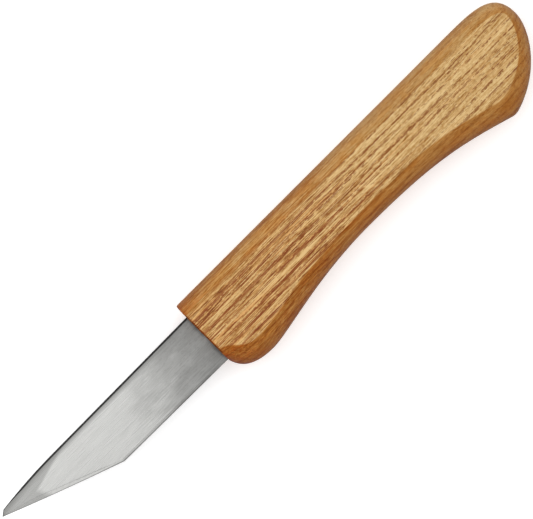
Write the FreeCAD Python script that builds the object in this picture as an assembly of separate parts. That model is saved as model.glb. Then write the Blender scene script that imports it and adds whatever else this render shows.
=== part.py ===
import FreeCAD, Part
import math
import os

# Whittling knife: a steel blade with a hidden tang, a one-piece ash handle and the epoxy
# that beds the tang in its slot. All sizes in millimetres, all angles in degrees.
#
# The knife is drawn with x running from the handle's front face to its butt, y down from
# the handle's straight back (deeper is more negative) and z across its thickness, zero on
# the middle plane. It is moved once, at the end, to stand on the middle of its own bounds.

# Handle outline on the middle plane, depths taken from the straight back
HANDLE_LENGTH = 111.9
HANDLE_THICKNESS = 18.0
FRONT_DEPTH = 19.1
SWELL_X = 10.0
SWELL_DEPTH = 24.6
WAIST_X = 48.2
WAIST_DEPTH = 19.9
HOOK_SETBACK = 17.8
HOOK_DEPTH = 26.3
HOOK_ROUND = 1.2
BUTT_DEPTH = 8.1
BACK_END_SETBACK = 17.0

# How far the flat side faces stop short of that outline
BACK_INSET = 3.8
FRONT_INSET = 3.7
SWELL_INSET = 4.6
WAIST_INSET = 3.75
HOOK_INSET = 4.7
HOOK_EXTRA_ROUND = 1.8
BUTT_INSET = 2.3
BUTT_RISE = 1.1

# Directions and fullness of the outline's curves
CHIN_ANGLE = 16.0
CHIN_START_REACH = 3.35
CHIN_END_SHARE = 0.65
CHIN_FACET_REACH = 4.4
CHIN_FACET_DROP = 1.2
CHIN_FACET_END_SHARE = 0.62
SWELL_SHARE = 0.14
WAIST_FRONT_SHARE = 0.48
WAIST_REAR_SHARE = 0.5
HOOK_SHARE = 0.3
HOOK_ARRIVAL_ANGLE = 16.5
HOOK_LEAVING_ANGLE = 17.0
BUTT_LOW_SHARE = 0.46
BUTT_POINT_SHARE = 0.3
BUTT_TOP_SHARE = 1.0
BACK_TAIL_SHARE = 0.61

# The rounded band between the flat sides and the middle plane
BAND_OVERSHOOT = 1.06
BAND_LEVELS = (-1.0, -0.92, -0.78, -0.5, 0.0, 0.5, 0.78, 0.92, 1.0)
FRONT_EASE = 0.5

# Blade outline, ahead of the handle
BLADE_LENGTH = 67.9
NOSE_LENGTH = 31.5
SPINE_DROP = 3.8
SPINE_RISE_ANGLE = 0.5
EDGE_MARGIN = 0.52
EDGE_RISE_ANGLE = 0.42
SPINE_CURVE_LENGTH = 19.9
SPINE_CURVE_DROP = 1.05
TIP_DROP = 2.19
TIP_CLIP_LENGTH = 1.5
NOSE_RADIUS = 850.0

# Blade thickness and grinds
BLADE_THICKNESS = 2.2
SPINE_THICKNESS_AT_TIP = 1.1
EDGE_THICKNESS = 0.46
FACE_CROWN = 0.06
EDGE_LAND = 0.06
NOSE_BEVEL_ANGLE = 24.0
EDGE_BEVEL_ANGLE = 20.0
EDGE_BEVEL_START = 3.0
SPINE_EASE = 0.35
SPINE_EASE_ANGLE = 40.0
TIP_FACET_ANGLE = 4.0
TIP_FACET_SLOPE_ANGLE = 14.8
TIP_FACET_BACK = 26.6
TIP_FACET_LENGTH = 15.0

# Tang and its bed
TANG_LENGTH = 52.0
TANG_SHOULDER_X = 7.0
TANG_TAIL_SHARE = 0.45
PLUNGE_X = 5.0
KEY_HOLE_COUNT = 2
KEY_HOLE_DIAMETER = 4.0
KEY_HOLE_SPACING = 18.0
KEY_HOLE_START_X = 20.0
SLOT_GAP = 0.2
SLOT_END_GAP = 2.5
BED_RECESS = 0.4

# Cutting bodies run this far past the stock they cut
OVERRUN = 5.0

HALF_THICKNESS = HANDLE_THICKNESS / 2
HOOK_X = HANDLE_LENGTH - HOOK_SETBACK
BACK_END_X = HANDLE_LENGTH - BACK_END_SETBACK
HALF_BLADE = BLADE_THICKNESS / 2
ORIGIN = FreeCAD.Vector(0, 0, 0)
MIDDLE_NORMAL = FreeCAD.Vector(0, 0, 1)


def sine(angle):
    return math.sin(math.radians(angle))


def cosine(angle):
    return math.cos(math.radians(angle))


def tangent(angle):
    return math.tan(math.radians(angle))


def curve(poles, z):
    """One Bezier edge through (x, y) poles at height z."""
    bezier = Part.BezierCurve()
    bezier.setPoles([FreeCAD.Vector(x, y, z) for x, y in poles])
    return bezier.toShape()


def polygon(points, z):
    """Closed face through (x, y) points at height z."""
    corners = [FreeCAD.Vector(x, y, z) for x, y in points]
    return Part.Face(Part.makePolygon(corners + corners[:1]))


def between(a, b, share):
    return a + (b - a) * share


# ---------------------------------------------------------------- handle

def band_share(level):
    """How far the outline has drawn in towards the flat face's outline at a height level."""
    drawn_in = 1 - math.sqrt(1 - (level / BAND_OVERSHOOT) ** 2)
    full = 1 - math.sqrt(1 - (1 / BAND_OVERSHOOT) ** 2)
    return drawn_in / full


def belly_curves(share):
    """Chin, front belly and rear belly of the outline as three lists of poles."""
    front = FRONT_DEPTH - FRONT_INSET * share
    swell = SWELL_DEPTH - SWELL_INSET * share
    waist = WAIST_DEPTH - WAIST_INSET * share
    hook = HOOK_DEPTH - HOOK_INSET * share
    hook_round = HOOK_ROUND + HOOK_EXTRA_ROUND * share
    chin_reach = between(CHIN_START_REACH * sine(CHIN_ANGLE), CHIN_FACET_REACH, share)
    chin_drop = between(CHIN_START_REACH * cosine(CHIN_ANGLE), CHIN_FACET_DROP, share)
    chin_end_share = between(CHIN_END_SHARE, CHIN_FACET_END_SHARE, share)
    hook_start = (
        HOOK_X - hook_round * cosine(HOOK_ARRIVAL_ANGLE),
        -hook + hook_round * sine(HOOK_ARRIVAL_ANGLE),
    )
    reach = HOOK_SHARE * (HOOK_X - WAIST_X)
    chin = [
        (0, -front),
        (chin_reach, -front - chin_drop),
        (between(SWELL_X, 0, chin_end_share), -swell),
        (SWELL_X, -swell),
    ]
    front_belly = [
        (SWELL_X, -swell),
        (between(SWELL_X, WAIST_X, SWELL_SHARE), -swell),
        (between(WAIST_X, SWELL_X, WAIST_FRONT_SHARE), -waist),
        (WAIST_X, -waist),
    ]
    rear_belly = [
        (WAIST_X, -waist),
        (between(WAIST_X, HOOK_X, WAIST_REAR_SHARE), -waist),
        (hook_start[0] - reach, hook_start[1] + reach * tangent(HOOK_ARRIVAL_ANGLE)),
        hook_start,
    ]
    return chin, front_belly, rear_belly


def butt_curves(share, hook_start):
    """Hook round, lower butt and upper butt of the outline as three lists of poles."""
    back = -BACK_INSET * share
    hook = HOOK_DEPTH - HOOK_INSET * share
    hook_round = HOOK_ROUND + HOOK_EXTRA_ROUND * share
    end = HANDLE_LENGTH - BUTT_INSET * share
    point = -BUTT_DEPTH + BUTT_RISE * share
    hook_end = (
        HOOK_X + hook_round * cosine(HOOK_LEAVING_ANGLE),
        -hook + hook_round * sine(HOOK_LEAVING_ANGLE),
    )
    chord = math.hypot(end - hook_end[0], point - hook_end[1])
    reach = BUTT_LOW_SHARE * chord
    hook_curve = [hook_start, (HOOK_X, -hook), hook_end]
    lower_butt = [
        hook_end,
        (
            hook_end[0] + reach * cosine(HOOK_LEAVING_ANGLE),
            hook_end[1] + reach * sine(HOOK_LEAVING_ANGLE),
        ),
        (end, between(point, hook_end[1], BUTT_POINT_SHARE)),
        (end, point),
    ]
    upper_butt = [
        (end, point),
        (end, between(point, back, BUTT_TOP_SHARE)),
        (between(BACK_END_X, end, BACK_TAIL_SHARE), back),
        (BACK_END_X, back),
    ]
    return hook_curve, lower_butt, upper_butt


def handle_wire(level):
    """Closed outline of the handle at one height level, from -1 to 1 across the thickness."""
    share = band_share(level)
    z = level * HALF_THICKNESS
    chin, front_belly, rear_belly = belly_curves(share)
    hook_curve, lower_butt, upper_butt = butt_curves(share, rear_belly[-1])
    back_line = [upper_butt[-1], (0, -BACK_INSET * share)]
    front_line = [back_line[-1], chin[0]]
    belly = [chin, front_belly, rear_belly]
    butt = [hook_curve, lower_butt, upper_butt]
    return Part.Wire([curve(run, z) for run in [front_line, *belly, *butt, back_line]])


def handle_blank():
    """The carved handle with its front edges eased, before the slot is cut."""
    blank = Part.makeLoft([handle_wire(level) for level in BAND_LEVELS], True)
    front_edges = [edge for edge in blank.Edges if edge.BoundBox.XMax < FRONT_EASE]
    return blank.makeFillet(FRONT_EASE, front_edges)


# ---------------------------------------------------------------- blade

def spine_y(x):
    """Height of the straight part of the spine, and of the tang's top, at x."""
    return -SPINE_DROP + x * tangent(SPINE_RISE_ANGLE)


def edge_y(x):
    """Height of the straight long edge at x."""
    return -(FRONT_DEPTH - EDGE_MARGIN) - x * tangent(EDGE_RISE_ANGLE)


def spine_half(x):
    """Half the ground blade's thickness at the spine, at x."""
    taper = (HALF_BLADE - SPINE_THICKNESS_AT_TIP / 2) / BLADE_LENGTH
    return HALF_BLADE + min(x, 0) * taper


def tip_y():
    """Height of the point of the blade."""
    return spine_y(-BLADE_LENGTH) - TIP_DROP


def tang_points(gap, tail):
    """Tapered tang outline from shoulder to tail, grown by a gap above and below."""
    middle = -WAIST_DEPTH / 2
    half_tail = WAIST_DEPTH * TANG_TAIL_SHARE / 2 + gap
    return [
        (TANG_SHOULDER_X, edge_y(0) - gap),
        (tail, middle - half_tail),
        (tail, middle + half_tail),
        (TANG_SHOULDER_X, spine_y(0) + gap),
    ]


def blade_outline():
    """Flat outline of the steel, left square at the nose: tang, spine, clipped tip, edge."""
    corner_x = NOSE_LENGTH - BLADE_LENGTH
    curve_x = SPINE_CURVE_LENGTH - BLADE_LENGTH
    clip_x = TIP_CLIP_LENGTH - BLADE_LENGTH
    turn_x = between(curve_x, clip_x, 0.5)
    spine_start = (0, spine_y(0))
    curve_start = (curve_x, spine_y(curve_x))
    clip = (clip_x, spine_y(clip_x) - SPINE_CURVE_DROP)
    tip = (-BLADE_LENGTH, tip_y())
    square = (-BLADE_LENGTH, edge_y(corner_x))
    corner = (corner_x, edge_y(corner_x))
    heel = (0, edge_y(0))
    stops = [clip, tip, square, corner, heel] + tang_points(0, TANG_LENGTH) + [spine_start]
    runs = list(zip(stops, stops[1:] + [curve_start]))
    runs[-1] = (spine_start, curve_start)
    runs.append((curve_start, (turn_x, spine_y(turn_x)), clip))
    return Part.Wire([curve(run, 0) for run in runs])


def plate():
    """The steel at full thickness, square at the nose."""
    slab = Part.Face(blade_outline()).extrude(MIDDLE_NORMAL * BLADE_THICKNESS)
    slab.translate(MIDDLE_NORMAL * -HALF_BLADE)
    return slab


def ground_section(x):
    """Slightly crowned wedge section of the ground blade at x, wider than its outline."""
    edge_half = EDGE_THICKNESS / 2
    width = spine_y(x) - edge_y(x)
    slope = (spine_half(x) - edge_half) / width
    top = spine_y(x) + EDGE_MARGIN
    bottom = edge_y(x) - EDGE_MARGIN
    top_half = spine_half(x) + slope * EDGE_MARGIN
    bottom_half = edge_half - slope * EDGE_MARGIN
    middle = FreeCAD.Vector(x, (top + bottom) / 2, (top_half + bottom_half) / 2 + FACE_CROWN)
    right_top = FreeCAD.Vector(x, top, top_half)
    right_bottom = FreeCAD.Vector(x, bottom, bottom_half)
    right_face = Part.Arc(right_top, middle, right_bottom).toShape()
    left_face = right_face.mirror(ORIGIN, MIDDLE_NORMAL)
    left_top = FreeCAD.Vector(x, top, -top_half)
    left_bottom = FreeCAD.Vector(x, bottom, -bottom_half)
    bottom_line = Part.makeLine(right_bottom, left_bottom)
    top_line = Part.makeLine(left_top, right_top)
    return Part.Wire([right_face, bottom_line, left_face, top_line])


def grinding_waste():
    """Everything outside the ground wedge ahead of the plunge line."""
    front_x = -BLADE_LENGTH - OVERRUN
    wedge = Part.makeLoft([ground_section(x) for x in (PLUNGE_X, 0, front_x)], True, True)
    length = PLUNGE_X - front_x
    block = Part.makeBox(length, HOOK_DEPTH + 2 * OVERRUN, 2 * BLADE_THICKNESS)
    block.translate(FreeCAD.Vector(front_x, -HOOK_DEPTH - OVERRUN, -BLADE_THICKNESS))
    return block.cut(wedge)


def nose_lens():
    """Disc with a bevelled rim; its edge is the slanted, slightly bowed nose."""
    corner_x = NOSE_LENGTH - BLADE_LENGTH
    corner = FreeCAD.Vector(corner_x, edge_y(corner_x), 0)
    tip = FreeCAD.Vector(-BLADE_LENGTH, tip_y(), 0)
    chord = corner - tip
    inward = FreeCAD.Vector(-chord.y, chord.x, 0).normalize()
    reach = math.sqrt(NOSE_RADIUS ** 2 - (chord.Length / 2) ** 2)
    centre = (corner + tip) * 0.5 + inward * reach
    land = MIDDLE_NORMAL * (EDGE_LAND / 2)
    height = BLADE_THICKNESS
    rim = Part.makeCylinder(NOSE_RADIUS, EDGE_LAND, centre - land)
    inner_radius = NOSE_RADIUS - height / tangent(NOSE_BEVEL_ANGLE)
    upper = Part.makeCone(NOSE_RADIUS, inner_radius, height, centre + land)
    return rim.fuse([upper, upper.mirror(ORIGIN, MIDDLE_NORMAL)])


def plane_cutters(start, finish, angle):
    """Boxes that cut both sides down to a plane through two points.

    The plane falls away by the angle to the left of the way from start to finish.
    """
    along = (finish - start).normalize()
    outward = along.cross(MIDDLE_NORMAL).normalize()
    downhill = outward * cosine(angle) - MIDDLE_NORMAL * sine(angle)
    normal = downhill.cross(along).normalize()
    side = normal.cross(along)
    box = Part.makeBox((finish - start).Length, 2 * BLADE_LENGTH, 2 * BLADE_THICKNESS)
    box.translate(FreeCAD.Vector(0, -BLADE_LENGTH, 0))
    turned = FreeCAD.Rotation(along, side, normal, "ZXY")
    box.Placement = FreeCAD.Placement(start, turned).multiply(box.Placement)
    return [box, box.mirror(ORIGIN, MIDDLE_NORMAL)]


def edge_bevels():
    """The small bevels along the straight edge, which stop short of the handle."""
    front_x = -BLADE_LENGTH
    back_x = -EDGE_BEVEL_START
    start = FreeCAD.Vector(front_x, edge_y(front_x), EDGE_LAND / 2)
    finish = FreeCAD.Vector(back_x, edge_y(back_x), EDGE_LAND / 2)
    return plane_cutters(start, finish, EDGE_BEVEL_ANGLE)


def spine_eases():
    """The flats that break the spine's two corners."""
    front_x = -BLADE_LENGTH
    start = FreeCAD.Vector(0, spine_y(0), spine_half(0) - SPINE_EASE)
    finish = FreeCAD.Vector(front_x, spine_y(front_x), spine_half(front_x) - SPINE_EASE)
    return plane_cutters(start, finish, SPINE_EASE_ANGLE)


def face_point(x, y):
    """Point on the ground right face."""
    share = (spine_y(x) - y) / (spine_y(x) - edge_y(x))
    crown = FACE_CROWN * share * (1 - share) * 4
    return FreeCAD.Vector(x, y, between(spine_half(x), EDGE_THICKNESS / 2, share) + crown)


def tip_facets():
    """The flats that thin the tip, divided from the faces by a slanting line."""
    line_x = TIP_FACET_BACK - BLADE_LENGTH
    line_y = spine_y(line_x)
    end_x = line_x - TIP_FACET_LENGTH * cosine(TIP_FACET_SLOPE_ANGLE)
    end_y = line_y - TIP_FACET_LENGTH * sine(TIP_FACET_SLOPE_ANGLE)
    start = face_point(line_x, line_y)
    run = face_point(end_x, end_y) - start
    return plane_cutters(start - run, start + run * 2, TIP_FACET_ANGLE)


def key_holes():
    """Holes through the tang that lock it into its bed."""
    drills = []
    for index in range(KEY_HOLE_COUNT):
        x = KEY_HOLE_START_X + index * KEY_HOLE_SPACING
        foot = FreeCAD.Vector(x, -WAIST_DEPTH / 2, -BLADE_THICKNESS)
        drills.append(Part.makeCylinder(KEY_HOLE_DIAMETER / 2, 2 * BLADE_THICKNESS, foot))
    return drills


def steel():
    """Blade and tang in one piece."""
    ground = plate().cut(grinding_waste())
    bevelled = ground.common(nose_lens()).cut(edge_bevels())
    return bevelled.cut(spine_eases() + tip_facets() + key_holes())


# ---------------------------------------------------------------- slot and bed

def slot_space(front_x):
    """The space between the slot's walls, from front_x to its blind end."""
    tail = TANG_LENGTH + SLOT_END_GAP
    half = HALF_BLADE + SLOT_GAP
    outline = [
        (front_x, edge_y(0) - SLOT_GAP),
        *tang_points(SLOT_GAP, tail),
        (front_x, spine_y(0) + SLOT_GAP),
    ]
    return polygon(outline, -half).extrude(MIDDLE_NORMAL * 2 * half)


def main():
    blade = steel()
    nodes = {
        "blade": blade,
        "handle": handle_blank().cut(slot_space(-OVERRUN)),
        "tang_epoxy": slot_space(BED_RECESS).cut(blade),
    }
    box = Part.makeCompound(list(nodes.values())).optimalBoundingBox(True, False)
    to_base = FreeCAD.Vector(-box.Center.x, -box.Center.y, -box.ZMin)
    os.makedirs("parts", exist_ok=True)
    for name, shape in nodes.items():
        shape.translate(to_base)
        shape.exportStep(f"parts/{name}.step")


main()
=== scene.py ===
import math

import bmesh
import bpy
import numpy as np
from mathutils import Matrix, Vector


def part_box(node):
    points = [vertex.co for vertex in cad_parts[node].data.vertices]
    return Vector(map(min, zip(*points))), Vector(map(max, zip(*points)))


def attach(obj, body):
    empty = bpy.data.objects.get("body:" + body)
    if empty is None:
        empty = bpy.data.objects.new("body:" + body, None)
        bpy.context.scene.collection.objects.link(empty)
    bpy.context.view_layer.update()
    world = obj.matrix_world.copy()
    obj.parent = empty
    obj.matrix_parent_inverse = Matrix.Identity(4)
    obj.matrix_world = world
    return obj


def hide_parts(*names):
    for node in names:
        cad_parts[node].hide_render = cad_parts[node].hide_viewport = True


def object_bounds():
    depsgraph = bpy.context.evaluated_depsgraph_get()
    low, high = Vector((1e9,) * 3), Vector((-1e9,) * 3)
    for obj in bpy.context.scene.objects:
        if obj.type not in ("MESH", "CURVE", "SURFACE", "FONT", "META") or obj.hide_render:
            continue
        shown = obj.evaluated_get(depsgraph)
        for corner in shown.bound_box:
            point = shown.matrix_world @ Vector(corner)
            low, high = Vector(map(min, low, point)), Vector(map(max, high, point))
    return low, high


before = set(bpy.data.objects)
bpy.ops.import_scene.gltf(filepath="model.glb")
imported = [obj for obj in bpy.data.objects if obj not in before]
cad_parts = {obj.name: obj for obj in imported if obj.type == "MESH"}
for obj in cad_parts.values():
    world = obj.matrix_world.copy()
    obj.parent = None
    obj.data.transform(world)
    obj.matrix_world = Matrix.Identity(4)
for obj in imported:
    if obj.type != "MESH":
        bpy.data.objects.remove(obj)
CAD_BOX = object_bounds()

# Lengths along the knife below are in millimetres, in the drawing frame of the CAD part:
# x from the handle's front face to the butt, y down from the handle's back, z from the
# middle plane. MM and the three datums turn them into the row frame's metres.
MM = 0.001
HANDLE_LO, HANDLE_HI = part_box("handle")
FRONT_X = HANDLE_LO.x
BACK_Y = HANDLE_HI.y
MIDDLE_Z = (HANDLE_LO.z + HANDLE_HI.z) / 2
HANDLE_LENGTH = (HANDLE_HI.x - HANDLE_LO.x) / MM
HALF_THICKNESS = (HANDLE_HI.z - HANDLE_LO.z) / 2 / MM
BLADE_LO, BLADE_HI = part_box("blade")
BLADE_LENGTH = (FRONT_X - BLADE_LO.x) / MM
HALF_BLADE = (BLADE_HI.z - BLADE_LO.z) / 2 / MM


def to_row(points):
    """Drawing-frame millimetres to row-frame metres."""
    points = np.asarray(points, float)
    return points * MM + np.array([FRONT_X, BACK_Y, MIDDLE_Z])


def mix(a, b, share):
    return a + (b - a) * share


def climb(values, start, end):
    """0 up to the start, 1 from the end on, and straight between them."""
    return np.clip((values - start) / (end - start), 0, 1)


def stretches(stops, counts):
    """Values from the first stop to the last, each stretch with a spacing of its own."""
    runs = [np.linspace(a, b, n)[:-1] for a, b, n in zip(stops, stops[1:], counts)]
    return np.concatenate([*runs, stops[-1:]])


WAVE_OCTAVES, WAVE_PITCH, WAVE_FALL = 3, 1.7, 1.4


def wave(values, seed):
    """Smooth one-dimensional noise from a few sines, roughly -1 to 1."""
    rng = np.random.default_rng(seed)
    total = np.zeros_like(values, float)
    for k in range(WAVE_OCTAVES):
        phase = rng.uniform(0, 2 * math.pi)
        total += np.sin(values * WAVE_PITCH ** k + phase) / WAVE_FALL ** k
    return total / 2


def soft_min(a, b, softness):
    """The lower of two heights, with the corner between them rounded off."""
    gap = np.clip(softness - np.abs(a - b), 0, None) / softness
    return np.minimum(a, b) - gap ** 2 * softness / 4


def new_mesh(name, points, faces, smooth=True):
    mesh = bpy.data.meshes.new(name)
    mesh.from_pydata([tuple(p) for p in to_row(points)], [], faces)
    mesh.validate()
    shell = bmesh.new()
    shell.from_mesh(mesh)
    bmesh.ops.recalc_face_normals(shell, faces=shell.faces)
    shell.to_mesh(mesh)
    shell.free()
    mesh.polygons.foreach_set("use_smooth", [smooth] * len(mesh.polygons))
    obj = bpy.data.objects.new(name, mesh)
    bpy.context.scene.collection.objects.link(obj)
    return obj


def skin(rings, count):
    """Four-sided faces between neighbouring closed rings of points, and the two end caps."""
    faces = []
    for level in range(rings - 1):
        base, above = level * count, (level + 1) * count
        for i in range(count):
            j = (i + 1) % count
            faces.append((base + i, above + i, above + j, base + j))
    top = (rings - 1) * count
    faces.append([top + i for i in range(count)][::-1])
    faces.append(list(range(count)))
    return faces


def set_attribute(obj, name, values):
    attribute = obj.data.attributes.new(name, "FLOAT", "POINT")
    attribute.data.foreach_set("value", np.asarray(values, np.float32))


def cut_away(obj, cutter):
    """Take the cutter's shape out of a piece, and the cutter out of the scene."""
    cut = obj.modifiers.new("cut", "BOOLEAN")
    cut.operation, cut.solver, cut.object = "DIFFERENCE", "EXACT", cutter
    evaluated = obj.evaluated_get(bpy.context.evaluated_depsgraph_get())
    mesh = bpy.data.meshes.new_from_object(evaluated)
    obj.modifiers.clear()
    obj.data = mesh
    bpy.data.objects.remove(cutter)


# ---------------------------------------------------------------- handle shape

# The outline on the middle plane, and how far the flat side's border stays inside it
FRONT_DEPTH, FRONT_INSET = 19.1, 3.7
SWELL_X, SWELL_DEPTH, SWELL_INSET = 10.0, 24.6, 4.6
WAIST_X, WAIST_DEPTH, WAIST_INSET = 48.2, 19.9, 3.75
HOOK_X, HOOK_DEPTH, HOOK_INSET = HANDLE_LENGTH - 17.8, 26.3, 4.7
HOOK_ROUND, HOOK_EXTRA_ROUND = 1.2, 1.8
BUTT_DEPTH, BUTT_INSET, BUTT_RISE = 8.1, 2.3, 1.1
BACK_END_X, BACK_INSET = HANDLE_LENGTH - 17.0, 3.8

# Directions and fullness of the outline's curves
CHIN_ANGLE, CHIN_START_REACH, CHIN_END_SHARE = math.radians(16), 3.35, 0.65
CHIN_FACET_REACH, CHIN_FACET_DROP, CHIN_FACET_END_SHARE = 4.4, 1.2, 0.62
SWELL_SHARE, WAIST_FRONT_SHARE, WAIST_REAR_SHARE, HOOK_SHARE = 0.14, 0.48, 0.5, 0.3
HOOK_ARRIVAL, HOOK_LEAVING = math.radians(16.5), math.radians(17)
BUTT_LOW_SHARE, BUTT_POINT_SHARE, BACK_TAIL_SHARE = 0.46, 0.3, 0.61

# Points on each run of the outline, in the order they are drawn
RUN_POINTS = (30, 30, 60, 74, 10, 42, 40, 130, 6)

# The rounded band: rings by height up to BAND_TOP, then by share of the way to the border
BAND_OVERSHOOT = 1.06
BAND_RINGS, BAND_TOP = 19, 0.93
BORDER_SHARES = (0.86, 0.9, 0.93, 0.95, 0.965, 0.98, 0.99, 1.0, 1.01, 1.02, 1.035, 1.05, 1.07, 1.1)
BORDER_SOFTNESS = 0.17
FRONT_EASE, CHIN_EASE_LENGTH = 0.5, 3.0

# The shaping by hand: how much the band's width wanders, over what length, and from where
HAND_SWING, HAND_LENGTH, HAND_START, HAND_SEED = 0.035, 6.5, 12.0, 3

# Rings across the flat side close in on this line
AXIS_SHARES = (0.02, 0.05, 0.1, 0.17, 0.26, 0.37, 0.5, 0.64, 0.8)
AXIS_X, AXIS_Y = (0, 20, 48, 96), (-9.5, -11, -10, -11.5)
AXIS_FRONT, AXIS_REAR = 9.0, HANDLE_LENGTH - 15.0

# The wood's stains and painted shade, none at the first value and full at the second: by share of the
# way in from the middle plane, and by distance from the front face
BAND_FADE, RIM_FADE, HANDLED_FADE = (1.01, 0.88), (0.5, 0.0), (10.0, 0.0)
# The belly's painted shade: how far below the back it starts and how far on it is full, along the
# handle and at the butt, and how long the change from one to the other is
BELLY_DEPTH, BELLY_SPREAD, BUTT_BELLY_LENGTH = (13.0, 2.0), (3.0, 6.0), 9.0
BUTT_BELLY_LOSS = 0.1


def bezier(poles, count):
    """Points along a Bezier curve, the last one left out."""
    t = np.arange(count)[:, None] / count
    poles = np.asarray(poles, float)
    degree = len(poles) - 1
    return sum(
        math.comb(degree, k) * (1 - t) ** (degree - k) * t ** k * poles[k]
        for k in range(degree + 1)
    )


def handle_outline(share):
    """Closed outline from the middle plane (share 0) to the flat side's border (share 1)."""
    back = -BACK_INSET * share
    front = -(FRONT_DEPTH - FRONT_INSET * share)
    swell = -(SWELL_DEPTH - SWELL_INSET * share)
    waist = -(WAIST_DEPTH - WAIST_INSET * share)
    hook = -(HOOK_DEPTH - HOOK_INSET * share)
    end = HANDLE_LENGTH - BUTT_INSET * share
    point = -BUTT_DEPTH + BUTT_RISE * share
    turn = HOOK_ROUND + HOOK_EXTRA_ROUND * share
    chin_x = mix(CHIN_START_REACH * math.sin(CHIN_ANGLE), CHIN_FACET_REACH, share)
    chin_y = front - mix(CHIN_START_REACH * math.cos(CHIN_ANGLE), CHIN_FACET_DROP, share)
    chin_end = mix(SWELL_X, 0, mix(CHIN_END_SHARE, CHIN_FACET_END_SHARE, share))
    hook_start = (HOOK_X - turn * math.cos(HOOK_ARRIVAL), hook + turn * math.sin(HOOK_ARRIVAL))
    hook_end = (HOOK_X + turn * math.cos(HOOK_LEAVING), hook + turn * math.sin(HOOK_LEAVING))
    reach = HOOK_SHARE * (HOOK_X - WAIST_X)
    leave = BUTT_LOW_SHARE * math.hypot(end - hook_end[0], point - hook_end[1])
    runs = (
        [(0, back - FRONT_EASE), (0, front)],
        [(0, front), (chin_x, chin_y), (chin_end, swell), (SWELL_X, swell)],
        [(SWELL_X, swell), (mix(SWELL_X, WAIST_X, SWELL_SHARE), swell),
         (mix(WAIST_X, SWELL_X, WAIST_FRONT_SHARE), waist), (WAIST_X, waist)],
        [(WAIST_X, waist), (mix(WAIST_X, HOOK_X, WAIST_REAR_SHARE), waist),
         (hook_start[0] - reach, hook_start[1] + reach * math.tan(HOOK_ARRIVAL)), hook_start],
        [hook_start, (HOOK_X, hook), hook_end],
        [hook_end, (hook_end[0] + leave * math.cos(HOOK_LEAVING),
                    hook_end[1] + leave * math.sin(HOOK_LEAVING)),
         (end, mix(point, hook_end[1], BUTT_POINT_SHARE)), (end, point)],
        [(end, point), (end, back),
         (mix(BACK_END_X, end, BACK_TAIL_SHARE), back), (BACK_END_X, back)],
        [(BACK_END_X, back), (FRONT_EASE, back)],
        [(FRONT_EASE, back), (0, back), (0, back - FRONT_EASE)],
    )
    return np.concatenate([bezier(poles, count) for poles, count in zip(runs, RUN_POINTS)])


def band_heights():
    """Shares of the way in from the rim to the flat side's border, and the height at each."""
    top = BAND_OVERSHOOT * HALF_THICKNESS
    full = 1 - math.sqrt(1 - (1 / BAND_OVERSHOOT) ** 2)
    lower = HALF_THICKNESS * np.linspace(0, BAND_TOP, BAND_RINGS)
    shares = np.concatenate([(1 - np.sqrt(1 - (lower / top) ** 2)) / full, BORDER_SHARES])
    arc = top * np.sqrt(1 - np.clip(1 - shares * full, 0, 1) ** 2)
    return shares, soft_min(arc, HALF_THICKNESS, BORDER_SOFTNESS)


def front_lean(height):
    """How far the front face's eased edge has leant back at a height."""
    up = max(0.0, height - (HALF_THICKNESS - FRONT_EASE))
    return FRONT_EASE - math.sqrt(max(0.0, FRONT_EASE ** 2 - up ** 2))


def handle_rings():
    """Rings from the middle plane up over the band and in across the flat side."""
    rim, border = handle_outline(0.0), handle_outline(1.0)
    along = np.cumsum(np.linalg.norm(np.roll(rim, -1, 0) - rim, axis=1))
    shaped = climb(border[:, 0], 0, HAND_START) * (1 - np.isclose(rim[:, 0], 0))
    swing = HAND_SWING * wave(along / HAND_LENGTH, HAND_SEED) * shaped
    low = rim[:, 1] < -FRONT_DEPTH / 2
    ease_length, ease_power = np.where(low, CHIN_EASE_LENGTH, FRONT_EASE), np.where(low, 2, 1)
    on_front = climb(rim[:, 0], ease_length, 0) ** ease_power
    shares, heights = band_heights()
    rings = []
    for share, height in zip(shares, heights):
        width = share * (1 + swing * min(share, 1.0))
        flat = rim + (border - rim) * width[:, None]
        flat[:, 0] += front_lean(height) * on_front
        rings.append(np.column_stack([flat, np.full(len(rim), height)]))
    edge = rings[-1][:, :2]
    axis = np.column_stack([
        np.clip(border[:, 0], AXIS_FRONT, AXIS_REAR), np.interp(border[:, 0], AXIS_X, AXIS_Y)
    ])
    for share in AXIS_SHARES:
        rings.append(np.column_stack([mix(edge, axis, share), np.full(len(rim), HALF_THICKNESS)]))
    return rings, len(shares)


def handle_mesh():
    rings, band_count = handle_rings()
    count = len(rings[0])
    stack = [ring * (1, 1, -1) for ring in rings[:0:-1]] + rings
    points = np.concatenate(stack)
    obj = new_mesh("handle_ash", points, skin(len(stack), count))
    level = np.repeat(np.arange(len(stack)), count)
    share = np.abs(level - (len(rings) - 1)) / (band_count - 1)
    band = climb(share, *BAND_FADE)
    butt = climb(points[:, 0], HOOK_X, HOOK_X + BUTT_BELLY_LENGTH)
    depth = mix(*BELLY_DEPTH, butt)
    low = climb(-points[:, 1], depth, depth + mix(*BELLY_SPREAD, butt))
    # Masks for the ash: the band gets painted shade and less gloss, the rim and the belly painted
    # shade, and handled a redder stain near the front.
    set_attribute(obj, "band", band)
    set_attribute(obj, "handled", band * climb(points[:, 0], *HANDLED_FADE))
    set_attribute(obj, "rim", climb(share, *RIM_FADE))
    set_attribute(obj, "belly", band * low * (1 - BUTT_BELLY_LOSS * butt))
    return obj


def box_cutter(name, lo, hi):
    (x0, y0, z0), (x1, y1, z1) = lo, hi
    points = [(x, y, z) for x in (x0, x1) for y in (y0, y1) for z in (z0, z1)]
    faces = [(0, 1, 3, 2), (4, 6, 7, 5), (0, 4, 5, 1), (2, 3, 7, 6), (0, 2, 6, 4), (1, 5, 7, 3)]
    return new_mesh(name, points, faces, smooth=False)


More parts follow.
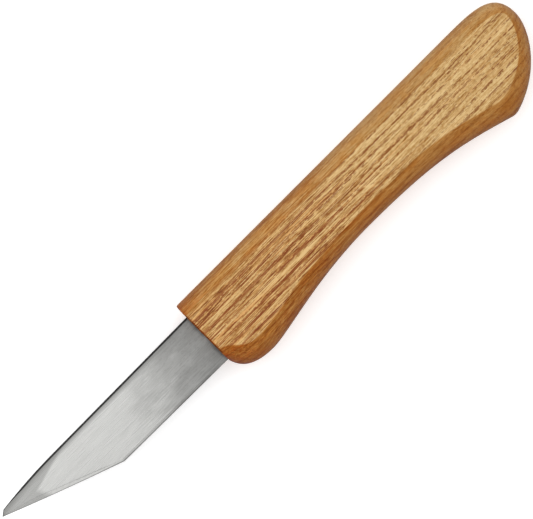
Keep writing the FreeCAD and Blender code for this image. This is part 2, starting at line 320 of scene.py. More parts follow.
# The slot's mouth: it goes in only as far as can be seen past the blade
SPINE_DROP, EDGE_MARGIN = 3.8, 0.52
SLOT_GAP, SLOT_REACH, SLOT_OVERRUN = 0.2, 9.0, 2.0


def slot_cutter():
    half = HALF_BLADE + SLOT_GAP
    lo = (-SLOT_OVERRUN, -(FRONT_DEPTH - EDGE_MARGIN) - SLOT_GAP, -half)
    hi = (SLOT_REACH, -SPINE_DROP + SLOT_GAP, half)
    return box_cutter("slot_cutter", lo, hi)


# ---------------------------------------------------------------- blade shape

# Outline
NOSE_LENGTH, NOSE_RADIUS = 31.5, 850.0
SPINE_RISE, EDGE_RISE = math.tan(math.radians(0.5)), math.tan(math.radians(0.42))
SPINE_CURVE_LENGTH, SPINE_CURVE_DROP = 19.9, 1.05
TIP_DROP, TIP_CLIP = 2.19, 1.5

# Thickness and grinds
SPINE_HALF_AT_TIP, EDGE_HALF = 0.55, 0.23
FACE_CROWN, EDGE_LAND_HALF = 0.06, 0.03
NOSE_BEVEL, EDGE_BEVEL = math.tan(math.radians(24)), math.tan(math.radians(20))
EDGE_BEVEL_START, EDGE_BEVEL_FADE = 3.0, 2.0
SPINE_EASE, SPINE_EASE_SLOPE = 0.35, math.tan(math.radians(40))
TIP_FACET_SLOPE, TIP_FACET_TILT = math.radians(14.8), math.tan(math.radians(4))
TIP_FACET_BACK, TIP_FACET_LENGTH = 26.6, 15.0
TIP_FACET_SOFTNESS, SPINE_SOFTNESS, EDGE_SOFTNESS = 0.02, 0.14, 0.01

# The hand-held grinder's unsteadiness on the tip facet: height, length and seed
WAVER, WAVER_LENGTH, WAVER_SEED = 0.012, 2.6, 11
RIPPLE, RIPPLE_LENGTH, RIPPLE_DEPTH, RIPPLE_SEED = 0.008, 1.1, 3.0, 5

# Tang
PLUNGE_X, PLUNGE_STEP, SHOULDER_X, TANG_LENGTH, TAIL_SHARE = 5.0, 0.01, 7.0, 52.0, 0.45
KEY_HOLE_COUNT, KEY_HOLE_START_X, KEY_HOLE_SPACING = 2, 20.0, 18.0
KEY_HOLE_RADIUS, KEY_HOLE_SIDES, KEY_CUTTER_HALF = 2.0, 24, 3.0

# Stations on each stretch of the blade's length, points on each stretch from the edge to the
# spine, and the few stations along the hidden tang
BLADE_COUNTS = (7, 120, 124)
ACROSS_STOPS, ACROSS_COUNTS = (0, 0.06, 0.93, 1), (14, 58, 13)
TANG_STATIONS = (
    1, 2, 3, 4, PLUNGE_X - PLUNGE_STEP, PLUNGE_X + PLUNGE_STEP, 6, SHOULDER_X, 15, 25, 35, 45,
    TANG_LENGTH,
)

# Where the steel's marks lie: black scale along the spine, narrower and fading at the tip,
# painted shade on the grey flank below it and on the tip facet between its two borders, and a darker
# lip along the edge
SCALE_WIDTH, SCALE_LENGTH, SCALE_LEAST, SCALE_FADE = 0.52, 9.0, 0.35, 0.12
FLANK_START, FLANK_WIDTH = 0.6, 1.2
FACET_FADE, FACET_END_X, FACET_REAR_X = 0.05, 12.2 - BLADE_LENGTH, -20.0
FACET_END_FADE, FACET_END_SLANT, FACET_END_Y = 1.6, 0.25, -9.0
LIP_X, LIP_RISE = (-60, -45, -37, -30, -8, -3), (0.24, 0.3, 0.5, 0.4, 0.5, 0.05)


def spine_line(x):
    return -SPINE_DROP + x * SPINE_RISE


def edge_line(x):
    return -(FRONT_DEPTH - EDGE_MARGIN) - x * EDGE_RISE


def spine_half(x):
    return HALF_BLADE + np.minimum(x, 0) * (HALF_BLADE - SPINE_HALF_AT_TIP) / BLADE_LENGTH


CORNER_X = NOSE_LENGTH - BLADE_LENGTH
CLIP_X = TIP_CLIP - BLADE_LENGTH
TIP_Y = spine_line(-BLADE_LENGTH) - TIP_DROP
CLIP_Y = spine_line(CLIP_X) - SPINE_CURVE_DROP


def blade_top(x):
    """Upper outline: straight spine, its curve, and the clipped end."""
    share = climb(x, SPINE_CURVE_LENGTH - BLADE_LENGTH, CLIP_X)
    curved = spine_line(x) - SPINE_CURVE_DROP * share ** 2
    clip = mix(CLIP_Y, TIP_Y, (CLIP_X - x) / TIP_CLIP)
    return np.where(x < CLIP_X, clip, curved)


def nose_centre():
    corner, tip = np.array([CORNER_X, edge_line(CORNER_X)]), np.array([-BLADE_LENGTH, TIP_Y])
    chord = corner - tip
    length = np.hypot(*chord)
    inward = np.array([-chord[1], chord[0]]) / length
    return (corner + tip) / 2 + inward * math.sqrt(NOSE_RADIUS ** 2 - (length / 2) ** 2)


NOSE_CENTRE = nose_centre()


def blade_bottom(x):
    """Lower outline: bowed nose, then the straight long edge."""
    nose = NOSE_CENTRE[1] - np.sqrt(NOSE_RADIUS ** 2 - (x - NOSE_CENTRE[0]) ** 2)
    corner = edge_line(CORNER_X)
    return np.where(x < CORNER_X, np.maximum(nose, corner), edge_line(np.minimum(x, 0)))


def face_height(x, y):
    share = (spine_line(x) - y) / (spine_line(x) - edge_line(x))
    crown = FACE_CROWN * share * (1 - share) * 4
    return mix(spine_half(x), EDGE_HALF, share) + crown


def tip_facet_height(x, y):
    """Flat ground plane that leans off the face from a slanting line towards the spine."""
    line_x = TIP_FACET_BACK - BLADE_LENGTH
    line_y = spine_line(line_x)
    along = np.array([-math.cos(TIP_FACET_SLOPE), -math.sin(TIP_FACET_SLOPE)])
    out = np.array([along[1], -along[0]])
    z0 = face_height(line_x, line_y)
    z1 = face_height(line_x + TIP_FACET_LENGTH * along[0], line_y + TIP_FACET_LENGTH * along[1])
    run = (x - line_x) * along[0] + (y - line_y) * along[1]
    off = (x - line_x) * out[0] + (y - line_y) * out[1]
    return mix(z0, z1, run / TIP_FACET_LENGTH) - off * TIP_FACET_TILT


def blade_height(x, y):
    """Half thickness of the ground blade at a point of its outline."""
    waver = WAVER * wave(x / WAVER_LENGTH, WAVER_SEED)
    ripple = RIPPLE * wave(x / RIPPLE_LENGTH + y / RIPPLE_DEPTH, RIPPLE_SEED)
    facet = tip_facet_height(x, y) + waver + ripple
    ease = spine_half(x) - SPINE_EASE + (blade_top(x) - y) * SPINE_EASE_SLOPE
    ground = climb(x, EDGE_BEVEL_FADE - EDGE_BEVEL_START, -EDGE_BEVEL_START)
    long_bevel = EDGE_LAND_HALF + (y - edge_line(x)) * EDGE_BEVEL + (1 - ground) * EDGE_HALF
    radius = np.hypot(x - NOSE_CENTRE[0], y - NOSE_CENTRE[1])
    nose_bevel = EDGE_LAND_HALF + (NOSE_RADIUS - radius) * NOSE_BEVEL
    height = soft_min(face_height(x, y), facet, TIP_FACET_SOFTNESS)
    height = soft_min(height, ease, SPINE_SOFTNESS)
    height = soft_min(height, long_bevel, EDGE_SOFTNESS)
    return np.maximum(np.minimum(height, nose_bevel), EDGE_LAND_HALF)


def tang_span(x):
    """Lower and upper outline of the tang."""
    middle, half = -WAIST_DEPTH / 2, WAIST_DEPTH * TAIL_SHARE / 2
    share = climb(x, SHOULDER_X, TANG_LENGTH)
    return mix(edge_line(0), middle - half, share), mix(spine_line(0), middle + half, share)


def blade_grid():
    """Points of one side, a column from the edge to the spine at each station."""
    blade_stops = (-BLADE_LENGTH, CLIP_X, CORNER_X, 0)
    across = stretches(ACROSS_STOPS, ACROSS_COUNTS)
    columns = []
    for x in [*stretches(blade_stops, BLADE_COUNTS), *TANG_STATIONS]:
        low, high = (blade_bottom(x), blade_top(x)) if x <= 0 else tang_span(x)
        y = mix(low, high, across)
        z = blade_height(np.full_like(y, x), y) if x < PLUNGE_X else np.full_like(y, HALF_BLADE)
        columns.append(np.column_stack([np.full_like(y, x), y, z]))
    return np.array(columns)


def blade_marks(grid):
    """Where each kind of mark lies on the grid, 0 to 1."""
    x, y = grid[:, :, 0], grid[:, :, 1]
    depth, rise = y[:, -1:] - y, y - y[:, :1]
    width = SCALE_WIDTH * np.clip((x + BLADE_LENGTH) / SCALE_LENGTH, SCALE_LEAST, 1)
    line = (face_height(x, y) - tip_facet_height(x, y)) / FACET_FADE
    end = (FACET_END_X - x) / FACET_END_FADE - FACET_END_SLANT * (y - FACET_END_Y)
    return {
        "scale": np.clip((width - depth) / SCALE_FADE + 0.5, 0, 1),
        "facet": np.clip(np.maximum(line, end), 0, 1) * (x < FACET_REAR_X),
        "flank": climb(depth, FLANK_START + FLANK_WIDTH, FLANK_START),
        "lip": climb(rise, np.interp(x, LIP_X, LIP_RISE), 0),
    }


def blade_mesh():
    grid = blade_grid()
    points = np.concatenate([grid, (grid * (1, 1, -1))[:, ::-1]], axis=1)
    stations, ring = points.shape[:2]
    obj = new_mesh("blade_steel", points.reshape(-1, 3), skin(stations, ring))
    for name, marks in blade_marks(grid).items():
        set_attribute(obj, name, np.concatenate([marks, marks[:, ::-1]], axis=1).ravel())
    return obj


def key_cutter(index):
    """Round bar through the tang at one key hole."""
    angles = np.linspace(0, 2 * math.pi, KEY_HOLE_SIDES, endpoint=False)
    x = KEY_HOLE_START_X + KEY_HOLE_SPACING * index + KEY_HOLE_RADIUS * np.cos(angles)
    y = -WAIST_DEPTH / 2 + KEY_HOLE_RADIUS * np.sin(angles)
    ends = [np.column_stack([x, y, np.full_like(x, z)]) for z in (-KEY_CUTTER_HALF, KEY_CUTTER_HALF)]
    faces = skin(len(ends), KEY_HOLE_SIDES)
    return new_mesh(f"key_cutter_{index}", np.concatenate(ends), faces, smooth=False)


# ---------------------------------------------------------------- materials

# The materials work in the row frame, in millimetres.
FRONT_MM, MIDDLE_MM, TOP_MM = FRONT_X / MM, MIDDLE_Z / MM, HANDLE_HI.z / MM


def srgb(r, g, b):
    """Display colour, 0 to 255, as linear."""
    out = []
    for c in (r, g, b):
        c /= 255
        out.append(c / 12.92 if c <= 0.04045 else ((c + 0.055) / 1.055) ** 2.4)
    return (*out, 1.0)


class Nodes:
    """Short way to write one material's node tree."""

    def __init__(self, name):
        self.material = bpy.data.materials.new(name)
        self.material.use_nodes = True
        self.tree = self.material.node_tree
        self.shader = self.tree.nodes["Principled BSDF"]

    def add(self, kind, settings, inputs):
        node = self.tree.nodes.new(kind)
        for key, value in settings.items():
            setattr(node, key, value)
        for key, value in inputs.items():
            self.plug(node, key, value)
        return node

    def plug(self, node, key, value):
        """Link a socket to an input, or set the input to a plain value."""
        if isinstance(value, bpy.types.NodeSocket):
            self.tree.links.new(value, node.inputs[key])
        else:
            node.inputs[key].default_value = value

    def finish(self, **inputs):
        """Plug the shader's inputs, their names written with underscores."""
        for key, value in inputs.items():
            self.plug(self.shader, key.replace("_", " "), value)
        return self.material

    def place(self):
        """Place on the object, in millimetres."""
        metres = self.add("ShaderNodeTexCoord", {}, {}).outputs["Object"]
        return self.stretched(metres, (1 / MM, 1 / MM, 1 / MM))

    def parts(self, vector):
        return self.add("ShaderNodeSeparateXYZ", {}, {0: vector}).outputs

    def attribute(self, name):
        return self.add("ShaderNodeAttribute", {"attribute_name": name}, {}).outputs["Fac"]

    def math(self, operation, a, b=0.0):
        return self.add("ShaderNodeMath", {"operation": operation}, {0: a, 1: b}).outputs[0]

    def plus(self, total, *terms):
        for term in terms:
            total = self.math("ADD", total, term)
        return total

    def times(self, product, *factors):
        for factor in factors:
            product = self.math("MULTIPLY", product, factor)
        return product

    def minus(self, a, b):
        return self.math("SUBTRACT", a, b)

    def rest(self, *factors):
        """What a product leaves of one."""
        return self.minus(1.0, self.times(*factors))

    def ramp(self, value, low, high):
        """Smooth step of a value from low to high."""
        settings = {"interpolation_type": "SMOOTHSTEP"}
        inputs = {"Value": value, "From Min": low, "From Max": high}
        return self.add("ShaderNodeMapRange", settings, inputs).outputs["Result"]

    def ripple(self, level, phase, spacing, repeats=1.0):
        """Cosine of a level that repeats at a spacing."""
        turn = self.times(self.minus(level, phase), 2 * math.pi * repeats / spacing)
        return self.math("COSINE", turn)

    def stretched(self, vector, scale):
        settings = {"operation": "MULTIPLY"}
        return self.add("ShaderNodeVectorMath", settings, {0: vector, 1: scale}).outputs[0]

    def noise(self, vector, stretch, detail, roughness):
        place = self.stretched(vector, stretch)
        inputs = {"Vector": place, "Scale": 1.0, "Detail": detail, "Roughness": roughness}
        return self.add("ShaderNodeTexNoise", {"noise_dimensions": "3D"}, inputs).outputs["Fac"]

    def swing(self, vector, stretch, detail, roughness):
        """Noise about zero."""
        return self.minus(self.noise(vector, stretch, detail, roughness), 0.5)

    def blend(self, factor, a, b, mode="MIX"):
        settings = {"data_type": "RGBA", "blend_type": mode}
        return self.add("ShaderNodeMix", settings, {0: factor, 6: a, 7: b}).outputs[2]

    def layer(self, colour, layers, mode="MIX"):
        """Lay (factor, colour) pairs over a colour, in order."""
        for factor, over in layers:
            colour = self.blend(factor, colour, over, mode)
        return colour

    def scale_of_colours(self, value, colours):
        """Colours spread evenly over values from 0 to 1."""
        node = self.add("ShaderNodeValToRGB", {}, {0: value})
        stops = node.color_ramp.elements
        stops[0].position, stops[0].color = 0.0, colours[0]
        stops[1].position, stops[1].color = 1.0, colours[-1]
        for k, colour in enumerate(colours[1:-1], 1):
            stops.new(k / (len(colours) - 1)).color = colour
        return node.outputs["Color"]

    def bump(self, height, strength, distance):
        inputs = {"Height": height, "Strength": strength, "Distance": distance}
        return self.add("ShaderNodeBump", {}, inputs).outputs["Normal"]


# In the values below a CUT or a FADE is the pair that a smooth step runs between, and a SWING
# is how far a noise shifts it. Each noise has how fast it changes along, up and through the
# piece in a millimetre, then its detail and roughness.

# Ash
ASH_NOISES = {
    # These follow the grain.
    "broad": ((0.01, 0.75, 0.75), 2.0, 0.5),
    "fine": ((0.036, 2.5, 2.5), 3.0, 0.7),
    "thread": ((0.2, 4.7, 4.7), 2.0, 0.6),
    "lines": ((0.02, 6.5, 6.5), 1.0, 0.5),
    "breaks": ((0.6, 1.5, 1.5), 2.0, 0.65),
    "dots": ((0.8, 4.6, 4.6), 1.0, 0.5),
    "redness": ((0.03, 2.4, 2.4), 2.0, 0.6),
    # These don't.
    "drift": ((0.014, 0.1, 0.1), 2.0, 0.5),
    "fleck": ((1.1, 2.2, 2.2), 2.0, 0.6),
    "clump": ((0.06, 0.8, 0.8), 1.0, 0.5),
    "patch": ((0.13, 0.3, 0.3), 3.0, 0.6),
}
# Growth rings, rows of pores and the stretch behind the front that is more strongly marked
RING_SPACING, RING_PHASE, RING_TILT, RING_WANDER = 4.25, 8.67, 0.24, 3.0
ROW_SPACING, ROW_PHASE, ROW_CUT, LANE_CUT = 2.08, 7.1, (0.3, 0.95), (0.1, 0.9)
FRONT_FADE, FRONT_FADE_SWING = (FRONT_MM + 24.0, FRONT_MM + 84.0), 90.0

# Tones from dark to light, and what each part of the pattern adds to the tone
ASH_TONES = [srgb(*c) for c in (
    (110, 58, 2), (134, 80, 16), (158, 110, 42), (178, 136, 76), (194, 155, 97), (207, 172, 115),
    (219, 187, 131),
)]
MIDDLE_TONE, FRONT_TONE, BAND_CALM = 0.715, 0.01, 0.4
RING_TONE, HALF_RING_TONE, BROAD_TONE, FLECK_TONE = 0.07, 0.03, 0.6, 0.9
FINE_TONE, FINE_FRONT_TONE, THREAD_TONE, THREAD_FRONT_TONE = 0.4, 0.65, 1.3, 2.1

# Pores: what calls for them, where lines, breaks and dots show, and their colour
CLUMP_PORES, ROW_PORES, LANE_PORES, FRONT_PORES = 0.26, 0.13, 0.04, 0.03
LINE_CUT, BREAK_CUT, DOT_CUT, DOT_DARKNESS = (0.54, 0.6), (0.5, 0.56), (0.66, 0.71), 0.85
BREAK_BY_NEED, BREAK_BY_FRONT, BAND_PORE_LOSS = 0.5, 0.05, 0.5
PORE_TONE, FRONT_PORE_TONE = srgb(122, 64, 16), srgb(124, 54, 8)
FILL_CUT, FILL_SHARE = (-0.3, 0.25), 0.35

# Stains and painted shade, each a colour that the wood under it is multiplied by
REDNESS_CUT, REDNESS_BY_NEED, REDNESS, FRONT_REDNESS = (0.47, 0.62), 0.6, 0.3, 0.35
RED_TINT, FRONT_TINT, FRONT_TINT_SHARE = (0.93, 0.66, 0.42, 1), (0.98, 0.88, 0.74, 1), 0.6
# The band, belly and rim colours below are painted shade; the corner's is a painted shadow with dark
# glue.
BAND_PAINTED_SHADE, PATCH_TINT, PATCH_CUT = (0.87, 0.83, 0.83, 1), (0.95, 0.82, 0.64, 1), (0.4, 0.62)
BELLY_PAINTED_SHADE, RIM_PAINTED_SHADE = (0.76, 0.58, 0.38, 1), (0.58, 0.53, 0.47, 1)
BELLY_RIM_PAINTED_SHADE = (0.68, 0.5, 0.2, 1)
HANDLED_TINT, HANDLED_CUT = (0.82, 0.5, 0.26, 1), (-0.25, 0.2)
END_TINT, END_SHARE, END_SWING = (0.8, 0.6, 0.48, 1), 0.7, 2.0
END_FADE = (FRONT_MM - 0.1, FRONT_MM + 1.2)
CORNER_SHADOW_AND_GLUE, CORNER_HEIGHT = (0.4, 0.28, 0.22, 1), (HALF_THICKNESS - 1.0, HALF_THICKNESS - 0.1)
CORNER_FADE = (FRONT_MM + 0.15, FRONT_MM + 0.55)

# Oiled finish
ASH_ROUGHNESS, FINE_ROUGHNESS, PORE_ROUGHNESS = 0.5, 0.3, 0.15
FINE_HEIGHT, THREAD_HEIGHT, ASH_BUMP, ASH_BUMP_DEPTH = 0.6, 0.4, 0.4, 0.1 * MM
ASH_GLOSS, BAND_GLOSS_LOSS, ASH_COAT, ASH_COAT_ROUGHNESS = 0.22, 0.19, 0.05, 0.3


def ash_pores(n, noises, level, lane, frontness):
    """How many pores a place calls for, and the short dark dashes that open there."""
    row = n.ramp(n.ripple(level, ROW_PHASE, ROW_SPACING), *ROW_CUT)
    need = n.plus(n.times(n.minus(noises["clump"], 0.5), CLUMP_PORES), n.times(row, ROW_PORES))
    need = n.minus(need, n.times(lane, LANE_PORES))
    need = n.plus(need, n.times(n.minus(frontness, 0.5), FRONT_PORES))
    lines = n.ramp(n.plus(noises["lines"], need), *LINE_CUT)
    longer = n.plus(n.times(need, BREAK_BY_NEED), n.times(frontness, BREAK_BY_FRONT))
    breaks = n.ramp(n.plus(noises["breaks"], longer), *BREAK_CUT)
    dots = n.times(n.ramp(n.plus(noises["dots"], need), *DOT_CUT), DOT_DARKNESS)
    return need, n.math("MAXIMUM", n.times(lines, breaks), dots)


def ash_material():
    n = Nodes("ash")
    p = n.place()
    x, y, z = n.parts(p)
    band, belly, rim, handled = [n.attribute(k) for k in ("band", "belly", "rim", "handled")]
    # Growth rings: nearly level sheets across the width that tilt and drift a little.
    tilt = n.times(n.minus(z, TOP_MM), RING_TILT)
    wander = n.times(n.swing(p, *ASH_NOISES["drift"]), RING_WANDER)
    level = n.plus(y, tilt, wander)
    ring = n.ripple(level, RING_PHASE, RING_SPACING)
    half_ring = n.ripple(level, RING_PHASE, RING_SPACING, repeats=2)
    lane = n.ramp(ring, *LANE_CUT)
    # Fibres that run the whole length and follow the rings, in three widths.
    q = n.add("ShaderNodeCombineXYZ", {}, {"X": x, "Y": level, "Z": z}).outputs[0]
    broad, fine, thread = [n.swing(q, *ASH_NOISES[k]) for k in ("broad", "fine", "thread")]
    fleck = n.swing(p, *ASH_NOISES["fleck"])
    frontness = n.rest(n.ramp(n.plus(x, n.times(fine, FRONT_FADE_SWING)), *FRONT_FADE))
    tone = n.plus(
        n.times(ring, RING_TONE), n.times(half_ring, HALF_RING_TONE), n.times(broad, BROAD_TONE),
        n.times(fine, n.plus(FINE_TONE, n.times(frontness, FINE_FRONT_TONE))),
        n.times(thread, n.plus(THREAD_TONE, n.times(frontness, THREAD_FRONT_TONE))),
        n.times(fleck, FLECK_TONE),
    )
    tone = n.times(tone, n.rest(band, BAND_CALM))
    tone = n.plus(tone, n.plus(MIDDLE_TONE, n.times(frontness, FRONT_TONE)))
    # Open pores: short dark dashes in rows where each ring starts, and redder wood round them.
    noises = {k: n.noise(q, *ASH_NOISES[k]) for k in ("lines", "breaks", "dots", "redness")}
    noises["clump"] = n.noise(p, *ASH_NOISES["clump"])
    need, dash = ash_pores(n, noises, level, lane, frontness)
    dash = n.times(dash, n.rest(band, BAND_PORE_LOSS))
    redness = n.ramp(n.plus(noises["redness"], n.times(need, REDNESS_BY_NEED)), *REDNESS_CUT)
    redness = n.times(redness, n.plus(REDNESS, n.times(frontness, FRONT_REDNESS)))
    filled = n.ramp(n.plus(thread, fine), *FILL_CUT)
    pore_tone = n.blend(frontness, PORE_TONE, FRONT_PORE_TONE)
    # The oil has gone deeper where a hand rubs, so the rounded band is redder in patches, and
    # the sharp front corner of the flat sides gets a painted shadow of the joint with the blade, with
    # dark glue.
    patch = n.ramp(n.noise(p, *ASH_NOISES["patch"]), *PATCH_CUT)
    rubbed = n.ramp(n.plus(broad, fleck), *HANDLED_CUT)
    end = n.rest(n.ramp(n.plus(x, n.times(fleck, END_SWING)), *END_FADE))
    away = n.math("ABSOLUTE", n.minus(z, MIDDLE_MM))
    corner = n.times(n.ramp(away, *CORNER_HEIGHT), n.rest(n.ramp(x, *CORNER_FADE)))
    wood = n.layer(n.scale_of_colours(tone, ASH_TONES), (
        (redness, RED_TINT), (n.times(frontness, FRONT_TINT_SHARE), FRONT_TINT),
    ), "MULTIPLY")
    wood = n.blend(n.times(dash, n.rest(filled, FILL_SHARE)), wood, pore_tone)
    # Painted shade darkens the rounded band, the belly side and the rim by the middle plane, and a
    # painted shadow with dark glue lines the front corner.
    wood = n.layer(wood, (
        (band, BAND_PAINTED_SHADE), (n.times(band, patch), PATCH_TINT), (belly, BELLY_PAINTED_SHADE),
        (rim, RIM_PAINTED_SHADE), (n.times(belly, rim), BELLY_RIM_PAINTED_SHADE),
        (n.times(handled, rubbed), HANDLED_TINT), (n.times(end, END_SHARE), END_TINT),
        (corner, CORNER_SHADOW_AND_GLUE),
    ), "MULTIPLY")
    height = n.minus(n.plus(n.times(fine, FINE_HEIGHT), n.times(thread, THREAD_HEIGHT)), dash)
    return n.finish(
        Base_Color=wood,
        Roughness=n.plus(ASH_ROUGHNESS, n.times(fine, FINE_ROUGHNESS), n.times(dash, PORE_ROUGHNESS)),
        Normal=n.bump(height, ASH_BUMP, ASH_BUMP_DEPTH),
        Specular_IOR_Level=n.minus(ASH_GLOSS, n.times(band, BAND_GLOSS_LOSS)),
        Coat_Weight=n.times(n.rest(band), ASH_COAT),
        Coat_Roughness=ASH_COAT_ROUGHNESS,
    )


# Ground steel
STEEL_NOISES = {
    "scratch": ((0.16, 8.0, 8.0), 4.0, 0.65),
    "hair": ((0.5, 22.0, 22.0), 2.0, 0.6),
    "cloud": ((0.12, 0.22, 0.22), 3.0, 0.55),
    "speck": ((0.9, 2.2, 2.2), 3.0, 0.65),
}
STEEL_BRIGHT, STEEL_PAINTED_SHADE, STEEL_MARK = srgb(167, 167, 165), srgb(112, 112, 110), srgb(88, 88, 86)
STEEL_CONTACT_SHADOW, STEEL_SCALE = srgb(40, 38, 36), srgb(14, 13, 12)
# The strip near the handle, darkened with painted shade, the painted contact shadow at the handle's
# face and the black scale on the spine
NEAR_FADE, NEAR_SWING = (FRONT_MM - 33.0, FRONT_MM + 2.0), 24.0
CONTACT_SHADOW_FADE, CONTACT_SHADOW_SWING, SCALE_CUT, SCALE_SWING = (FRONT_MM - 1.1, FRONT_MM), 2.5, (0.3, 0.5), 0.2
NEAR_PAINTED_SHADE, FACET_PAINTED_SHADE, FLANK_PAINTED_SHADE, CONTACT_SHADOW_SHARE = 0.85, 0.55, 0.8, 0.6
LIP_CUT, LIP_SHARE, SPECK_CUT, NEAR_SPECKS = (0.15, 0.5), 0.75, (0.5, 0.75), 0.4
SCRATCH_CUT, SCRATCHES, NEAR_SCRATCHES = (0.42, 0.72), 0.12, 0.3
SCALE_DULLNESS, STEEL_ANISOTROPY = 0.75, 0.4
STEEL_ROUGHNESS, NEAR_ROUGHNESS, SCRATCH_ROUGHNESS, SCALE_ROUGHNESS = 0.27, 0.1, 0.35, 0.25
SCRATCH_HEIGHT, HAIR_HEIGHT, STEEL_BUMP, STEEL_BUMP_DEPTH = 0.4, 0.4, 0.14, 0.02 * MM


def steel_material():
    n = Nodes("ground_steel")
    p = n.place()
    x = n.parts(p)["X"]
    scratch, hair, cloud, speck = [n.noise(p, *noise) for noise in STEEL_NOISES.values()]
    scale, facet, flank, lip = [n.attribute(k) for k in ("scale", "facet", "flank", "lip")]
    # The strip by the handle is rougher and more marked than the ground nose, and painted shade
    # darkens it.
    uneven = n.minus(cloud, 0.5)
    near = n.ramp(n.plus(x, n.times(uneven, NEAR_SWING)), *NEAR_FADE)
    contact_shadow = n.ramp(n.plus(x, n.times(uneven, CONTACT_SHADOW_SWING)), *CONTACT_SHADOW_FADE)
    black = n.ramp(n.plus(scale, n.times(n.minus(speck, 0.5), SCALE_SWING)), *SCALE_CUT)
    marks = n.times(n.ramp(scratch, *SCRATCH_CUT), n.plus(SCRATCHES, n.times(near, NEAR_SCRATCHES)))
    specks = n.times(n.ramp(speck, *SPECK_CUT), near, NEAR_SPECKS)
    # Painted shade darkens the strip near the handle, the tip facet and the flank beside the spine,
    # and a painted contact shadow lies at the handle's face; the scratches and specks are real marks.
    steel = n.layer(STEEL_BRIGHT, (
        (n.times(near, NEAR_PAINTED_SHADE), STEEL_PAINTED_SHADE), (n.times(facet, FACET_PAINTED_SHADE), STEEL_PAINTED_SHADE),
        (n.times(flank, FLANK_PAINTED_SHADE), STEEL_PAINTED_SHADE),
        (n.times(n.ramp(lip, *LIP_CUT), LIP_SHARE), STEEL_MARK),
        (marks, STEEL_MARK), (specks, STEEL_MARK), (n.times(contact_shadow, CONTACT_SHADOW_SHARE), STEEL_CONTACT_SHADOW),
        (black, STEEL_SCALE),
    ))
    height = n.plus(
        n.times(scratch, n.plus(SCRATCH_HEIGHT, near)), n.times(hair, HAIR_HEIGHT),
        n.times(black, speck),
    )
    roughness = n.plus(
        STEEL_ROUGHNESS, n.times(near, NEAR_ROUGHNESS),
        n.times(n.minus(scratch, 0.5), SCRATCH_ROUGHNESS), n.times(black, SCALE_ROUGHNESS),
    )
    return n.finish(
        Base_Color=steel,
        Metallic=n.rest(black, SCALE_DULLNESS),
        Roughness=roughness,
        Normal=n.bump(height, STEEL_BUMP, STEEL_BUMP_DEPTH),
        Anisotropic=STEEL_ANISOTROPY,
    )


EPOXY_NOISE = ((0.9, 0.9, 0.9), 3.0, 0.5)
EPOXY_DARK, EPOXY_LIGHT = srgb(38, 24, 14), srgb(74, 47, 24)
EPOXY_ROUGHNESS, CLOUD_ROUGHNESS, EPOXY_BUMP, EPOXY_BUMP_DEPTH = 0.2, 0.25, 0.3, 0.1 * MM


def epoxy_material():
    n = Nodes("cured_epoxy")
    cloud = n.noise(n.place(), *EPOXY_NOISE)
    return n.finish(
        Base_Color=n.blend(cloud, EPOXY_DARK, EPOXY_LIGHT),
        Roughness=n.plus(EPOXY_ROUGHNESS, n.times(cloud, CLOUD_ROUGHNESS)),
        Normal=n.bump(cloud, EPOXY_BUMP, EPOXY_BUMP_DEPTH),
    )


def floor_material():
    return Nodes("studio_floor").finish(
        Base_Color=(0.95, 0.95, 0.95, 1),
        Emission_Color=(1, 1, 1, 1),
        Emission_Strength=0.32,
        Roughness=0.9,
        Specular_IOR_Level=0.1,
    )


# ---------------------------------------------------------------- pieces

def finish_piece(obj, node, material):
    obj.data.materials.clear()
    obj.data.materials.append(material)
    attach(obj, "root")
    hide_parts(node)


handle = handle_mesh()
cut_away(handle, slot_cutter())
finish_piece(handle, "handle", ash_material())

blade = blade_mesh()
for hole in range(KEY_HOLE_COUNT):
    cut_away(blade, key_cutter(hole))
finish_piece(blade, "blade", steel_material())

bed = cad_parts["tang_epoxy"]
bed.data.materials.clear()
bed.data.materials.append(epoxy_material())


# ---------------------------------------------------------------- stage, light, camera

FLOOR_HALF = 4.0
WORLD_STRENGTH = 0.7
LENS, SENSOR = 400.0, 36.0
FRAME_WIDTH = 0.13325
AIM_SHIFT = (0.0023, 0.00533)
VIEW_TURN = math.radians(-45)
NEAR_CLIP, FAR_CLIP = 0.05, 20.0


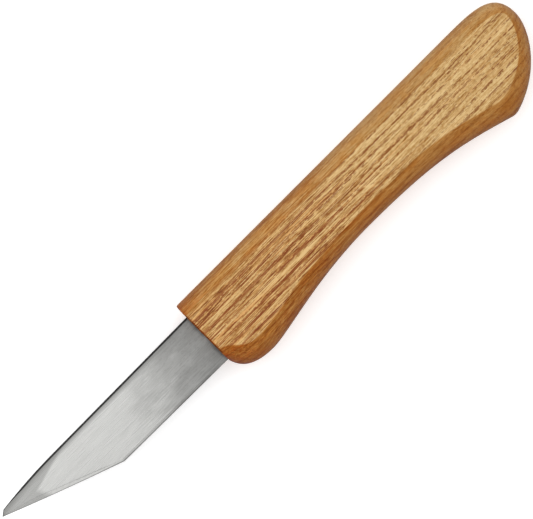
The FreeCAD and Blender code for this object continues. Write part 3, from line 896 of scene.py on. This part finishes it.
def area_light(name, place, aim, size, radiance):
    """Square soft box of a stated radiance that the camera doesn't see."""
    data = bpy.data.lights.new(name, "AREA")
    data.shape, data.size = "SQUARE", size
    data.energy = radiance * math.pi * size ** 2
    obj = bpy.data.objects.new(name, data)
    obj.location = place
    obj.rotation_mode = "QUATERNION"
    obj.rotation_quaternion = (Vector(aim) - Vector(place)).to_track_quat("-Z", "Y")
    obj.visible_camera = False
    bpy.context.scene.collection.objects.link(obj)


def make_floor():
    mesh = bpy.data.meshes.new("floor")
    corners = ((-1, -1), (1, -1), (1, 1), (-1, 1))
    points = [(x * FLOOR_HALF, y * FLOOR_HALF, CAD_BOX[0].z) for x, y in corners]
    mesh.from_pydata(points, [], [(0, 1, 2, 3)])
    floor = bpy.data.objects.new("floor", mesh)
    floor.data.materials.append(floor_material())
    bpy.context.scene.collection.objects.link(floor)


def make_world():
    world = bpy.data.worlds.new("studio")
    world.use_nodes = True
    background = world.node_tree.nodes["Background"]
    background.inputs["Color"].default_value = (1, 1, 1, 1)
    background.inputs["Strength"].default_value = WORLD_STRENGTH
    bpy.context.scene.world = world


def make_camera():
    """Camera straight above the knife, turned so that it lies along the frame's diagonal."""
    data = bpy.data.cameras.new("camera")
    data.lens, data.sensor_width = LENS, SENSOR
    data.clip_start, data.clip_end = NEAR_CLIP, FAR_CLIP
    camera = bpy.data.objects.new("camera", data)
    centre = (CAD_BOX[0] + CAD_BOX[1]) / 2
    distance = FRAME_WIDTH * LENS / SENSOR
    camera.location = (centre.x + AIM_SHIFT[0], centre.y + AIM_SHIFT[1], centre.z + distance)
    camera.rotation_euler = (0, 0, VIEW_TURN)
    bpy.context.scene.collection.objects.link(camera)
    bpy.context.scene.camera = camera


make_floor()
make_world()
area_light("overhead", place=(-0.12, 0.4, 1.25), aim=(0, 0, 0), size=1.6, radiance=1.12)
area_light("edge_fill", place=(-0.36, -0.9, 0.85), aim=(-0.04, 0, 0), size=0.6, radiance=1.2)
make_camera()
bpy.context.scene.view_settings.view_transform = "Standard"
